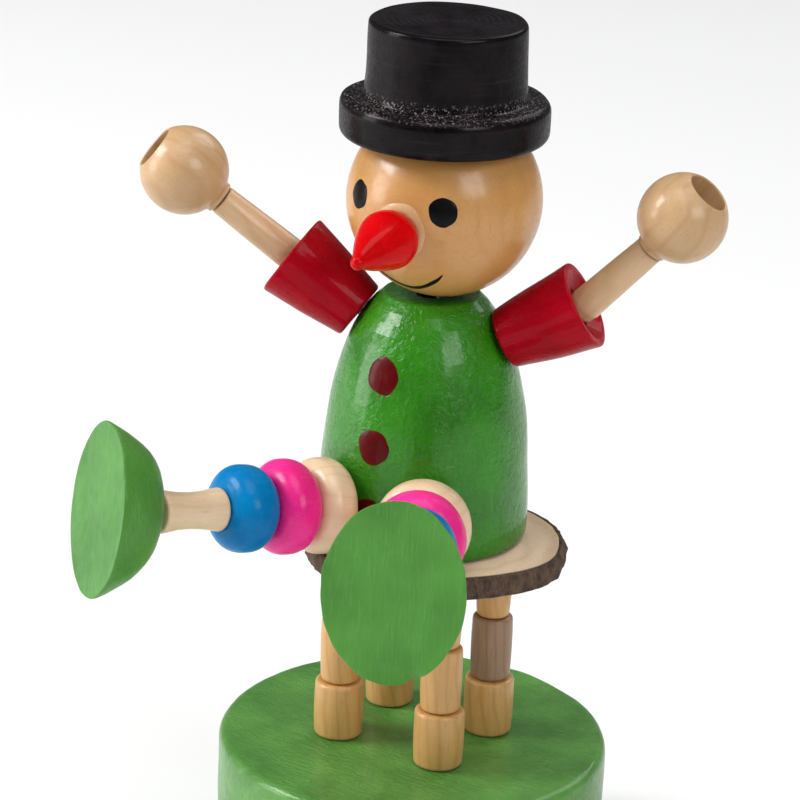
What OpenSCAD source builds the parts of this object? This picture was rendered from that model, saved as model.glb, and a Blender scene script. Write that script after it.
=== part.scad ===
/* [Base] */
// Diameter of the base drum
base_d = 50; // [44:1:60]
// Height of the base drum
base_h = 22; // [20:0.5:30]
// Thickness of the drum's side wall
base_wall = 4; // [3:0.5:5]
// Thickness of the drum's top
base_top = 4; // [3:0.5:5]
// Thickness of the push button
button_h = 5; // [4:0.5:6]
// How far the button is recessed at rest
button_recess = 1.2; // [0.5:0.1:2]

/* [Stool] */
// Half the distance between the legs, side to side
leg_x = 7.5; // [7:0.1:8.5]
// Half the distance between the legs, front to back
leg_y = 6.2; // [5.5:0.1:7]
// Height of a leg's lower bead
lower_h = 7.6; // [7:0.1:9]
// Height of a leg's middle bead
middle_h = 8.6; // [8:0.1:9.5]
// Height of a leg's upper bead
upper_h = 9.3; // [9:0.1:10]
// Diameter of a leg's lower bead
lower_d = 6.1; // [5.5:0.1:6.5]
// Diameter of a leg's middle and upper beads
middle_d = 5; // [4.5:0.1:5.4]
// Mean radius of the seat, a slice of a branch
seat_r = 16.1; // [15.5:0.1:17]
// Thickness of the seat
seat_h = 2.9; // [2.5:0.1:4]
// Thickness of the bark round the seat
bark = 0.8; // [0.5:0.1:1.2]

/* [Figure] */
// Diameter of the body at its foot
torso_d = 26.4; // [25:0.1:28]
// Height of the body
torso_h = 31.6; // [30:0.1:33]
// Diameter of the head
head_d = 24.1; // [22:0.1:26]
// Diameter of the hat's brim
brim_d = 25.6; // [24:0.1:28]
// Diameter of the hat's crown
crown_d = 19.9; // [18:0.1:22]
// Length of the nose
nose_len = 10.9; // [8:0.1:12]
// Length of a sleeve
sleeve_len = 11.1; // [9:0.1:12]
// Length of a forearm, from the elbow's centre
forearm_len = 11.3; // [11:0.1:14]
// Diameter of a hand
hand_d = 11; // [10:0.1:12]
// Diameter of the upper leg beads
thigh_d = 12.2; // [11:0.1:12.4]
// Length of a shin
shin_len = 9; // [8:0.1:11]
// Length of a foot, along the leg
foot_len = 7.5; // [7:0.1:9]
// Height of a foot's sole
sole_tall = 22; // [20:0.1:23]
// Width of a foot's sole
sole_wide = 17; // [16:0.1:18.5]

/* [Strings] */
// Diameter of the strings
string_d = 0.9; // [0.7:0.1:1.1]
// Diameter of the holes that the strings run through
hole_d = 1.9; // [1.6:0.1:2.2]
// Gap between two pieces that are strung together
gap = 0.1; // [0.08:0.01:0.15]

/* [Hidden] */
sides = ["left", "right"];
corners = [["front_left", 1, -1], ["front_right", -1, -1], ["rear_left", 1, 1], ["rear_right", -1, 1]];
$fn = 64;

bead_fn = 40;
hole_r = hole_d / 2;
string_r = string_d / 2;
knot_r = 1.7;
base_r = base_d / 2;
base_edge = 1.2;
button_clear = 0.5;
button_r = base_r - base_wall - button_clear;
button_top = button_recess + button_h;
ceiling_z = base_h - base_top;
spring_r = 6.3;
spring_wire = 0.8;
spring_turns = 5;

middle_z = base_h + lower_h;
upper_z = middle_z + middle_h;
seat_z = upper_z + upper_h;
seat_top = seat_z + seat_h;
upper_foot_d = middle_d - 0.7;
seat_shift = [2.2, -0.6];

torso_r = torso_d / 2;
torso_edge = 0.9;
torso_power = 2.58;
torso_fade = 33 / 31.6 * torso_h;
torso_top = seat_top + torso_h;
cavity_r = 10.9;
cavity_h = 11;
throat_r = 4;
throat_h = 27.5;
neck_r = 2;
head_r = head_d / 2;
head_at = [0.9, 0.5, torso_top + 11.9];
cup_clear = 0.15;
hat_at = [0.55, 0.3, torso_top + 19.8];
brim_r = brim_d / 2;
crown_r = crown_d / 2;
brim_h = 4.9;
crown_h = 14.3;
nose_drop = -7;
nose_turn = 3.7;
nose_r = 3.65;
nose_tip_r = 0.95;
nose_peg_r = 1.9;
nose_peg = 5;

// Arms, left and right: each shoulder's distance, direction and height,
// then the rise and turn of the sleeve, the rod and the hand
shoulder = [[9.68, 14, 54.95], [9, 200, 56.25]];
arm_way = [[[29.1, 21], [46.9, 12.7], [50, 10.4]], [[34.8, 197.2], [38.3, 215], [37.8, 214]]];
sleeve_in_d = 7.6;
sleeve_out_d = 11.2;
recess_d = 9;
recess_h = 2.35;
elbow_depth = 0.15;
wrist_gap = 0.18;
forearm_r = 2.1;
wrist_r = 1.85;
hand_r = hand_d / 2;
hand_reach = 5.7;
palm_r = 2.7;

// Legs, left and right: where the hips are from the front, the headings of the legs and feet
hip_turn = [31, -21];
leg_turn = [-65, -113.5];
foot_turn = [-65, -124];
foot_flat = 1.2;
leg_rise = [8, 9];
hip_len = 5;
hip_clear = 0.4;
hip_r = torso_r + hip_clear + hip_len / 2;
hip_z = thigh_d / 2 + 0.2;
knee_len = 5.8;
calf_len = 6.4;
calf_d = thigh_d - 1;
leg_at = [0, hip_len, hip_len + knee_len, hip_len + knee_len + calf_len,
          hip_len + knee_len + calf_len + shin_len];

wood = "#dcb683";
pale_wood = "#e6cda2";
green = "#3f9b3a";
red = "#b3172b";
cord_white = "#e9e4d8";

function arc(x, z, r, from, to, n = 6) =
    [for (i = [0:n]) let (a = from + (to - from) * i / n) [x + r * cos(a), z + r * sin(a)]];
function mid(a, b) = (a + b) / 2;
function side_no(s) = s == "left" ? 0 : 1;

// Direction of +Z after rotate([0, 90 - rise, turn])
function heading(rise, turn) = [cos(rise) * cos(turn), cos(rise) * sin(turn), sin(rise)];

// Places along an arm
function arm_heading(s, k) = let (way = arm_way[side_no(s)][k]) heading(way[0], way[1]);
function shoulder_at(s) = let (d = shoulder[side_no(s)])
    [d[0] * cos(d[1]), d[0] * sin(d[1]), base_h + d[2]];
function elbow_at(s) = shoulder_at(s) + (sleeve_len - elbow_depth) * arm_heading(s, 0);
function wrist_at(s) = elbow_at(s) + (forearm_len + wrist_gap) * arm_heading(s, 1);
function palm_at(s) = wrist_at(s) + hand_reach * arm_heading(s, 2);

// Places along a leg, t from the hip bead's inner face
function leg_point(s, t) = let (turn = hip_turn[side_no(s)])
    [hip_r * sin(turn), -hip_r * cos(turn), seat_top + hip_z]
    + (t - hip_len / 2) * heading(leg_rise[side_no(s)], leg_turn[side_no(s)]);
// The foot's back face clears the shin's end however far the foot is turned
function foot_point(s, t) = let (twist = abs(foot_turn[side_no(s)] - leg_turn[side_no(s)]))
    leg_point(s, leg_at[4])
    + (t + gap / 2 + foot_flat * sin(twist)) * heading(leg_rise[side_no(s)], foot_turn[side_no(s)]);

module along(at, rise, turn) { translate(at) rotate([0, 90 - rise, turn]) children(); }
module on_arm(s, at, k) { along(at, arm_way[side_no(s)][k][0], arm_way[side_no(s)][k][1]) children(); }
module on_leg(s, t) { along(leg_point(s, t), leg_rise[side_no(s)], leg_turn[side_no(s)]) children(); }

// A turned bead standing on z = 0: rounded corners, a slight belly and a through hole
module bead(len, r_foot, r_head, corner, belly, hole = hole_r) {
    rotate_extrude($fn = bead_fn) polygon(concat(
        [[hole, 0]],
        arc(r_foot - corner, corner, corner, -90, 0),
        [for (t = [0.25, 0.5, 0.75])
            [r_foot + (r_head - r_foot) * t + belly * (1 - pow(2 * t - 1, 2)),
             corner + (len - 2 * corner) * t]],
        arc(r_head - corner, len - corner, corner, 0, 90),
        [[hole, len]]));
}

function unit(v) = v / norm(v);
// Rings of an eight-sided tube along the points, each square to the way through its point
function tube_rings(points, r) = let (last = len(points) - 1) [for (i = [0:last])
    let (way = unit((i > 0 ? unit(points[i] - points[i - 1]) : [0, 0, 0])
            + (i < last ? unit(points[i + 1] - points[i]) : [0, 0, 0])),
        across = unit(cross(way, [0.3, 1, 0.2])), up = cross(across, way))
    [for (k = [0:7]) points[i] + r * (cos(45 * k) * across + sin(45 * k) * up)]];

// A tube swept through rings of equal length
module swept(rings) {
    m = len(rings[0]);
    count = len(rings) - 1;
    polyhedron(
        points = [for (ring = rings) each ring],
        faces = concat(
            [[for (k = [0:m - 1]) k]],
            [for (i = [0:count - 1]) for (k = [0:m - 1]) let (n = (k + 1) % m)
                [i * m + k, (i + 1) * m + k, (i + 1) * m + n, i * m + n]],
            [[for (k = [m - 1:-1:0]) count * m + k]]));
}

// A string through the given points
module strand(points) { swept(tube_rings(points, string_r)); }

module base_drum() {
    color(green) difference() {
        rotate_extrude() polygon(concat(
            [[base_r - base_wall, 0], [base_r - 0.3, 0], [base_r, 0.3]],
            arc(base_r - base_edge, base_h - base_edge, base_edge, 0, 90),
            [[0, base_h], [0, ceiling_z], [base_r - base_wall, ceiling_z]]));
        for (c = corners) translate([c[1] * leg_x, c[2] * leg_y, ceiling_z - 1])
            cylinder(h = base_top + 2, r = hole_r, $fn = 24);
    }
}

module push_button() {
    color(wood) difference() {
        translate([0, 0, button_recess]) rotate_extrude() polygon(concat(
            [[0, 0]], arc(button_r - 0.6, 0.6, 0.6, -90, 0), [[button_r, button_h], [0, button_h]]));
        for (c = corners) translate([c[1] * leg_x, c[2] * leg_y, 0]) {
            cylinder(h = base_h, r = hole_r, $fn = 24);
            cylinder(h = button_recess + 3.4, r = knot_r + 0.4, $fn = 24);
        }
    }
}

module button_knots() {
    color(cord_white) for (c = corners)
        translate([c[1] * leg_x, c[2] * leg_y, button_recess + knot_r]) sphere(r = knot_r, $fn = 24);
}

// A wire swept along a helix, its two end turns flattened against the button and the drum
module return_spring() {
    steps = 14;
    wire_sides = 6;
    low = button_top + spring_wire / 2;
    high = ceiling_z - spring_wire / 2;
    count = spring_turns * steps;
    function lift(u) = min(1, max(0, (u - 0.16) / 0.68));
    rings = [for (i = [0:count]) let (u = i / count, a = 360 * i / steps)
        [for (k = [0:wire_sides - 1]) let (w = 360 * k / wire_sides,
            r = spring_r + spring_wire / 2 * cos(w),
            z = low + (high - low) * lift(u) + 0.02 * u + spring_wire / 2 * sin(w))
            [r * cos(a), r * sin(a), z - 0.02]]];
    color("silver") swept(rings);
}

module stool_bead(part, c) {
    z = part == "lower" ? base_h : part == "middle" ? middle_z : upper_z;
    h = part == "lower" ? lower_h : part == "middle" ? middle_h : upper_h;
    foot_r = (part == "lower" ? lower_d : part == "middle" ? middle_d : upper_foot_d) / 2;
    head_side_r = (part == "lower" ? lower_d : middle_d) / 2;
    color(part == "middle" && c[0] == "rear_left" ? "#a08f78" : wood)
        translate([c[1] * leg_x, c[2] * leg_y, z + gap / 2])
            bead(h - gap, foot_r, head_side_r, 0.5, 0.12);
}

function seat_edge(a) = seat_r + 0.3 * cos(2 * a - 20) + 0.6 * cos(3 * a - 30) + 0.12 * cos(7 * a + 10);
module seat_outline(inset) {
    translate(seat_shift) polygon([for (i = [0:59])
        let (a = 6 * i, r = seat_edge(a) - inset) [r * cos(a), r * sin(a)]]);
}

module seat() {
    color(pale_wood) difference() {
        translate([0, 0, seat_z + gap / 2]) linear_extrude(seat_h - gap / 2) seat_outline(bark);
        for (c = corners) translate([c[1] * leg_x, c[2] * leg_y, seat_z - 1])
            cylinder(h = seat_h + 2, r = hole_r, $fn = 24);
    }
}

module seat_bark() {
    color("#4f3527") translate([0, 0, seat_z + gap / 2]) linear_extrude(seat_h - gap / 2) difference() {
        seat_outline(0);
        seat_outline(bark);
    }
}

// A bell-shaped turned body, hollow for the strings, with a cup for the head
module torso() {
    steps = 22;
    function side(h) = torso_r * pow(1 - pow(h / torso_fade, torso_power), 1 / torso_power);
    color(green) difference() {
        translate([0, 0, seat_top + gap]) rotate_extrude() polygon(concat(
            [[cavity_r, 0]],
            arc(torso_r - torso_edge, torso_edge, torso_edge, -90, 0),
            [for (i = [1:steps]) let (h = (torso_h - gap) * sin(90 * i / steps))
                if (h > torso_edge + 0.2) [side(h), h]],
            [[neck_r, torso_h - gap], [neck_r, throat_h], [throat_r, throat_h - 1.5], [throat_r, cavity_h],
             [cavity_r, cavity_h - 3]]));
        translate(head_at) sphere(r = head_r + cup_clear);
        for (s = sides) {
            on_leg(s, -6) cylinder(h = 8, r = hole_r, $fn = 24);
            on_arm(s, shoulder_at(s) - 8.4 * arm_heading(s, 0), 0)
                cylinder(h = 12, r = hole_r, $fn = 24);
        }
    }
}

module head() {
    color(pale_wood) difference() {
        translate(head_at) sphere(r = head_r);
        translate(head_at - [0, 0, head_r + 1]) cylinder(h = 2 * head_r + 2, r = hole_r, $fn = 24);
        translate(head_at + [0, 0, head_r - 4]) cylinder(h = 5, r = knot_r + 0.5, $fn = 24);
        nose_axis() translate([0, 0, head_r - nose_peg])
            cylinder(h = nose_peg + 1, r = nose_peg_r, $fn = 32);
    }
}

module nose_axis() { along(head_at, nose_drop, -90 + nose_turn) children(); }

// A rounded cone with bulging sides, on a peg
module nose() {
    root = head_r - nose_peg + 0.1;
    foot = head_r - 0.12;
    belly_at = foot + 2.72;
    tip_at = foot + nose_len - nose_tip_r;
    color("red") nose_axis() rotate_extrude($fn = 48) polygon(concat(
        [[0, root], [nose_peg_r, root], [nose_peg_r, foot]],
        arc(0, belly_at, nose_r, -48, 0, 8),
        [for (t = [0.12:0.12:0.96])
            [nose_r - (nose_r - nose_tip_r * 0.88) * pow(t, 1.35), belly_at + (tip_at - belly_at) * t]],
        arc(0, tip_at, nose_tip_r, 28, 90, 6)));
}

// One turned piece: brim and crown, hollowed underneath to fit the head
module hat() {
    round_r = 1.1;
    color("#241c22") difference() {
        translate(hat_at) rotate_extrude() polygon(concat(
            [[0, 0]],
            arc(brim_r - round_r, round_r, round_r, -90, 0),
            arc(brim_r - round_r, brim_h - round_r, round_r, 0, 90),
            arc(crown_r + 0.5, brim_h + 0.5, 0.5, -90, -180),
            [[crown_r - 0.05, mid(brim_h, crown_h)]],
            arc(crown_r - 0.3 - round_r, crown_h - round_r, round_r, 0, 90),
            [[0, crown_h]]));
        translate(head_at) sphere(r = head_r);
        translate(head_at) cylinder(h = head_r + 1.5, r = knot_r + 0.5, $fn = 24);
    }
}

module head_knot() {
    color(cord_white) translate(head_at + [0, 0, head_r - 4 + knot_r]) sphere(r = knot_r, $fn = 24);
}

// Arms: a cone-shaped sleeve hollowed at its wide end, a rod and a drilled ball
module sleeve(s) {
    color(red) on_arm(s, shoulder_at(s), 0) difference() {
        rotate_extrude($fn = 48) polygon(concat(
            [[0, 0]],
            arc(sleeve_in_d / 2 - 0.4, 0.4, 0.4, -90, -8, 4),
            arc(sleeve_out_d / 2 - 0.5, sleeve_len - 0.5, 0.5, -8, 90, 5),
            [[recess_d / 2, sleeve_len], [forearm_r + 0.5, sleeve_len - recess_h / 2],
             [forearm_r + 0.2, sleeve_len - recess_h], [0, sleeve_len - recess_h]]));
        translate([0, 0, -1]) cylinder(h = sleeve_len, r = hole_r, $fn = 24);
    }
}

module forearm(s) {
    color(wood) on_arm(s, elbow_at(s), 1) difference() {
        rotate_extrude($fn = 32) polygon(concat(
            arc(0, 0, forearm_r, -90, 0, 8),
            [[wrist_r, forearm_len - 0.3], [wrist_r - 0.3, forearm_len], [0, forearm_len]]));
        translate([0, 0, -forearm_r - 1]) cylinder(h = forearm_len + forearm_r + 2, r = hole_r, $fn = 24);
    }
}

module hand(s) {
    color(pale_wood) on_arm(s, wrist_at(s), 2) difference() {
        union() {
            translate([0, 0, hand_reach]) sphere(r = hand_r, $fn = 48);
            cylinder(h = hand_reach, r = wrist_r + 0.2, $fn = 32);
        }
        translate([0, 0, hand_reach]) cylinder(h = hand_r + 1, r = palm_r, $fn = 32);
        translate([0, 0, -1]) cylinder(h = hand_reach + 2, r = hole_r, $fn = 24);
    }
}

module hand_knot(s) {
    color(cord_white) on_arm(s, wrist_at(s), 2) translate([0, 0, hand_reach + knot_r])
        sphere(r = knot_r, $fn = 24);
}

// Legs: three round beads, a shin like a spool and a half-egg foot
module hip_bead(s) {
    color(pale_wood) on_leg(s, gap / 2) bead(hip_len - gap, thigh_d / 2 - 0.1, thigh_d / 2, 2, 0.05);
}
module knee_bead(s) {
    color("#ea4f9d") on_leg(s, leg_at[1] + gap / 2)
        bead(knee_len - gap, thigh_d / 2 - 0.3, thigh_d / 2 - 0.3, 2.4, 0.2);
}
module calf_bead(s) {
    color("#2f86c6") on_leg(s, leg_at[2] + gap / 2)
        bead(calf_len - gap, calf_d / 2 - 0.3, calf_d / 2 - 0.3, 2.6, 0.2);
}
module shin(s) {
    color(pale_wood) on_leg(s, leg_at[3] + gap / 2) bead(shin_len - gap, 2.75, 2.7, 0.4, -0.45);
}

// The sole is an oval with its long axis upright, and the back narrows to the shin
module foot(s) {
    depth = foot_len - gap;
    color(green) along(foot_point(s, 0), leg_rise[side_no(s)], foot_turn[side_no(s)]) difference() {
        hull() {
            cylinder(h = 0.45, r1 = foot_flat, r2 = 3, $fn = 32);
            for (u = [0.1, 0.2, 0.4, 0.65, 0.85, 1]) let (w = pow(u, 0.28))
                translate([0, 0, u * depth - 0.2]) linear_extrude(0.2)
                    scale([sole_tall / sole_wide, 1]) circle(r = w * sole_wide / 2, $fn = 40);
        }
        translate([0, 0, -1]) cylinder(h = 6, r = hole_r, $fn = 24);
    }
}

// Strings, from the knots under the button up through the legs, and on through the figure's limbs
module leg_string(c) {
    s = c[1] > 0 ? "left" : "right";
    foot_of = [c[1] * leg_x, c[2] * leg_y, button_recess + 2 * knot_r + 0.1];
    in_seat = [c[1] * leg_x, c[2] * leg_y, seat_top + 0.8];
    if (c[2] < 0)
        color(cord_white)
            strand([foot_of, in_seat, leg_point(s, -3.2), leg_point(s, leg_at[4]), foot_point(s, 4)]);
    else
        color(cord_white) strand([foot_of, in_seat, [c[1] * 2.2, 1.8, seat_top + 10],
            shoulder_at(s) - 7.6 * arm_heading(s, 0), elbow_at(s), wrist_at(s), palm_at(s)]);
}

module string_head() {
    color(cord_white) strand([
        head_at + [0, 0, head_r - 4.1], head_at - [0, 0, 13.9], [0, 1, seat_top + 18.5]]);
}

base_drum();
push_button();
button_knots();
return_spring();
for (part = ["lower", "middle", "upper"]) for (c = corners)
    stool_bead(part, c);
seat();
seat_bark();
torso();
head();
nose();
hat();
head_knot();
string_head();
for (s = sides) {
    sleeve(s);
    forearm(s);
    hand(s);
    hand_knot(s);
    hip_bead(s);
    knee_bead(s);
    calf_bead(s);
    shin(s);
    foot(s);
}
for (c = corners)
    leg_string(c);
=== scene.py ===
"""Looks for a wooden push-up puppet: a figure in a top hat sits on a bead-legged stool on a green drum.

Lengths are in millimetres until a mesh is made, and each piece is built in its own frame, Z along its axis.
"""
import math

import bmesh
import bpy
import numpy as np
from mathutils import Matrix, Vector, noise


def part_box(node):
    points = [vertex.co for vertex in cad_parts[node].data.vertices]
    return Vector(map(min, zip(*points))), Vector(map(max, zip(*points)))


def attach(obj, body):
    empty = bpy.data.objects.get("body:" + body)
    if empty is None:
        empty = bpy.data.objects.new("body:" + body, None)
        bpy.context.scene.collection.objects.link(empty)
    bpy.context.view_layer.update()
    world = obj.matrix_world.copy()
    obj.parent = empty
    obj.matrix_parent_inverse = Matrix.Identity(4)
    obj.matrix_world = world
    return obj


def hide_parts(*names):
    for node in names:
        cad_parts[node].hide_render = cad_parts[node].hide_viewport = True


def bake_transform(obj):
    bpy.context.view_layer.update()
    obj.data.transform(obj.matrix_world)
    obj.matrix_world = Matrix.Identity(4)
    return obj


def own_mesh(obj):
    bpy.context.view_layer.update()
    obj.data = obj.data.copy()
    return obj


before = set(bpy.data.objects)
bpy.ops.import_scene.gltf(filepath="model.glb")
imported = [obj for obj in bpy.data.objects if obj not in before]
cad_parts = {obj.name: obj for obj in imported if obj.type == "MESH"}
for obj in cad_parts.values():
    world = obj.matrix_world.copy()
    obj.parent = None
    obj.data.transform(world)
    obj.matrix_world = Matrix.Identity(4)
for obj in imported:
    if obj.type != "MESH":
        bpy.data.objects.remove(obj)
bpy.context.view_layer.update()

MM = 0.001
SIDES = ("left", "right")
CORNERS = ("front_left", "front_right", "rear_left", "rear_right")
ARM_WAY = {
    "left": ((29.1, 21), (46.9, 12.7), (50, 10.4)),
    "right": ((34.8, 197.2), (38.3, 215), (37.8, 214)),
}
LEG_TURN = {"left": -65, "right": -113.5}
FOOT_TURN = {"left": -65, "right": -124}
LEG_RISE = {"left": 8, "right": 9}
SEAT_SHIFT = (2.2, -0.6)
DOT_LEVELS = (23.2, 14.5, 5.5)
NOSE_RISE = -7
NOSE_TURN = -86.3
HEAD_R = 12.05
BORE_R = 0.95
STRING_R = 0.45

# ---------------------------------------------------------------- places


def turned(rise, turn):
    """The rotation that lays local Z along a heading."""
    return Matrix.Rotation(math.radians(turn), 4, "Z") @ Matrix.Rotation(math.radians(90 - rise), 4, "Y")


def node_points(node):
    return np.array([v.co[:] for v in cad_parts[node].data.vertices], float)


def place_of(node, rise=90, turn=0):
    """A turned node's own frame, its axis on Z and its lower end at 0, then its length and radius in mm."""
    rotation = turned(rise, turn)
    local = node_points(node) @ np.array(rotation.to_3x3())
    low, high = local.min(0), local.max(0)
    middle = Vector(((low[0] + high[0]) / 2, (low[1] + high[1]) / 2, low[2]))
    matrix = Matrix.Translation(rotation @ middle) @ rotation
    return matrix, (high[2] - low[2]) / MM, (high[0] - low[0]) / 2 / MM


def middle_of(node):
    low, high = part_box(node)
    return (low + high) / 2


# ---------------------------------------------------------------- meshes


def outline(*corners, step=0.6):
    """Points (radius, height) along the corners (radius, height, rounding), with arcs at the rounded ones."""
    out = []
    last = len(corners) - 1
    for i, (r, z, fillet) in enumerate(corners):
        here = Vector((r, z))
        if fillet and 0 < i < last:
            back = Vector(corners[i - 1][:2]) - here
            on = Vector(corners[i + 1][:2]) - here
            angle = back.angle(on)
            reach = min(fillet / math.tan(angle / 2), 0.49 * back.length, 0.49 * on.length)
            a = here + back.normalized() * reach
            b = here + on.normalized() * reach
            for k in range(7):
                t = k / 6
                out.append((1 - t) ** 2 * a + 2 * t * (1 - t) * here + t * t * b)
        else:
            out.append(here)
    fine = [out[0]]
    for a, b in zip(out, out[1:]):
        count = max(1, math.ceil((b - a).length / step))
        fine += [a.lerp(b, k / count) for k in range(1, count + 1)]
    return fine


def seed_of(name):
    return sum(ord(c) * (i + 3) for i, c in enumerate(name)) % 997


def mark_grain(mesh, name):
    """Keeps each point's own place in mm: as it is in "shape", and moved by piece in "grain"."""
    own = np.array([v.co[:] for v in mesh.vertices], np.float32)
    away = seed_of(name) * np.array([1.7, 0.9, 2.3], np.float32)
    for key, value in (("grain", own + away), ("shape", own)):
        layer = mesh.attributes.get(key) or mesh.attributes.new(key, "FLOAT_VECTOR", "POINT")
        layer.data.foreach_set("vector", value.ravel())


def finish_mesh(name, bm, matrix, sharp=38):
    """Makes the object from a mesh in mm."""
    bmesh.ops.recalc_face_normals(bm, faces=bm.faces)
    mesh = bpy.data.meshes.new(name)
    bm.to_mesh(mesh)
    bm.free()
    mesh.shade_smooth()
    mesh.set_sharp_from_angle(angle=math.radians(sharp))
    mark_grain(mesh, name)
    mesh.transform(Matrix.Scale(MM, 4))
    obj = bpy.data.objects.new(name, mesh)
    bpy.context.scene.collection.objects.link(obj)
    obj.matrix_world = matrix
    return obj


def lathe(name, points, matrix, around=96, wobble=0.03, ripple=0.0, pitch=1.0, sharp=38, bend=None):
    """Revolves an outline about Z. wobble is a hand-turned unevenness, ripple the tool rings' depth."""
    seed = seed_of(name)
    bm = bmesh.new()
    rings = []
    closed = points[0][0] > 0.01 and points[-1][0] > 0.01
    for r, z in points:
        if r < 0.01:
            rings.append([bm.verts.new((0, 0, z))])
            continue
        ring = []
        for k in range(around):
            a = 2 * math.pi * k / around
            spot = Vector((math.cos(a) * (0.7 + r * 0.12), math.sin(a) * (0.7 + r * 0.12), z * 0.16 + seed))
            off = wobble * noise.noise(spot) * min(1.0, r / 3)
            off += ripple * math.sin(2 * math.pi * (z + 0.25 * r) / pitch + 0.8 * noise.noise(spot * 2))
            p = Vector((math.cos(a) * (r + off), math.sin(a) * (r + off), z + 0.5 * off))
            ring.append(bm.verts.new(bend(p) if bend else p))
        rings.append(ring)
    pairs = list(zip(rings, rings[1:])) + ([(rings[-1], rings[0])] if closed else [])
    for low, high in pairs:
        for k in range(around):
            n = (k + 1) % around
            quad = [low[k % len(low)], low[n % len(low)], high[n % len(high)], high[k % len(high)]]
            corners = list(dict.fromkeys(quad))
            if len(corners) > 2:
                bm.faces.new(corners)
    return finish_mesh(name, bm, matrix, sharp)


def bead_outline(length, foot_r, head_r, rounding, belly, hole=BORE_R):
    """A turned bead with its hole, rounded corners and a belly (or a waist, below 0)."""
    ramp = [(foot_r + (head_r - foot_r) * t + belly * (1 - (2 * t - 1) ** 2), t) for t in (0.3, 0.5, 0.7)]
    body = [(r, length * t, 0.8) for r, t in ramp]
    return outline(
        (hole, 0.25, 0), (hole + 0.25, 0, 0), (foot_r, 0, rounding), *body,
        (head_r, length, rounding), (hole + 0.25, length, 0), (hole, length - 0.25, 0), step=0.45)


def tube(name, points, radius, matrix=Matrix.Identity(4), sides=10, twist=0.0):
    """A round tube through points in mm, with flat ends."""
    bm = bmesh.new()
    points = [Vector(p) for p in points]
    rings = []
    across = Vector((0.31, 1, 0.17))
    for i, p in enumerate(points):
        way = (points[min(i + 1, len(points) - 1)] - points[max(i - 1, 0)]).normalized()
        across = (across - way * across.dot(way)).normalized()
        up = way.cross(across)
        ring = []
        for k in range(sides):
            a = 2 * math.pi * k / sides + twist * i
            lump = 1 + (0.07 * math.cos(3 * a) if twist else 0)
            ring.append(bm.verts.new(p + radius * lump * (math.cos(a) * across + math.sin(a) * up)))
        rings.append(ring)
    for low, high in zip(rings, rings[1:]):
        for k in range(sides):
            n = (k + 1) % sides
            bm.faces.new((low[k], low[n], high[n], high[k]))
    bm.faces.new(list(reversed(rings[0])))
    bm.faces.new(rings[-1])
    return finish_mesh(name, bm, matrix, sharp=60)


def drill(obj, places, radius, low, high):
    """Cuts round holes along local Z through obj, at places in mm."""
    bm = bmesh.new()
    for x, y in places:
        spot = Matrix.Translation((x, y, (low + high) / 2)) @ Matrix.Rotation(0.1, 4, "Z")
        bmesh.ops.create_cone(
            bm, cap_ends=True, segments=32, radius1=radius, radius2=radius, depth=high - low, matrix=spot)
    mesh = bpy.data.meshes.new("drills")
    bm.to_mesh(mesh)
    bm.free()
    mesh.transform(Matrix.Scale(MM, 4))
    drills = bpy.data.objects.new("drills", mesh)
    bpy.context.scene.collection.objects.link(drills)
    drills.matrix_world = obj.matrix_world
    cut = obj.modifiers.new("cut", "BOOLEAN")
    cut.operation, cut.solver, cut.object = "DIFFERENCE", "EXACT", drills
    bpy.context.view_layer.update()
    made = bpy.data.meshes.new_from_object(obj.evaluated_get(bpy.context.evaluated_depsgraph_get()))
    obj.modifiers.clear()
    obj.data = made
    bpy.data.objects.remove(drills)
    made.transform(Matrix.Scale(1 / MM, 4))
    mark_grain(made, obj.name)
    made.transform(Matrix.Scale(MM, 4))
    made.set_sharp_from_angle(angle=math.radians(38))
    return obj


def patch(name, surface, half, matrix=Matrix.Identity(4), thickness=0.07, rough=0.06, rings=12, around=56):
    """A dab of paint: surface(u, v, lift) places its points, u and v in mm from its middle."""
    seed = seed_of(name)
    bm = bmesh.new()
    grid = []
    for i in range(rings + 1):
        t = i / rings
        ring = []
        for k in range(around if i else 1):
            a = 2 * math.pi * k / around
            edge = 1 + rough * noise.noise(Vector((math.cos(a) * 1.5, math.sin(a) * 1.5, seed)))
            lift = thickness * (1 - t ** 5) - 0.03 * t ** 5
            u, v = half[0] * t * edge * math.cos(a), half[1] * t * edge * math.sin(a)
            ring.append(bm.verts.new(surface(u, v, lift)))
        grid.append(ring)
    for low, high in zip(grid, grid[1:]):
        for k in range(around):
            n = (k + 1) % around
            quad = dict.fromkeys((low[k % len(low)], low[n % len(low)], high[n], high[k]))
            bm.faces.new(list(quad))
    return finish_mesh(name, bm, matrix, sharp=70)


# ---------------------------------------------------------------- materials


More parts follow.
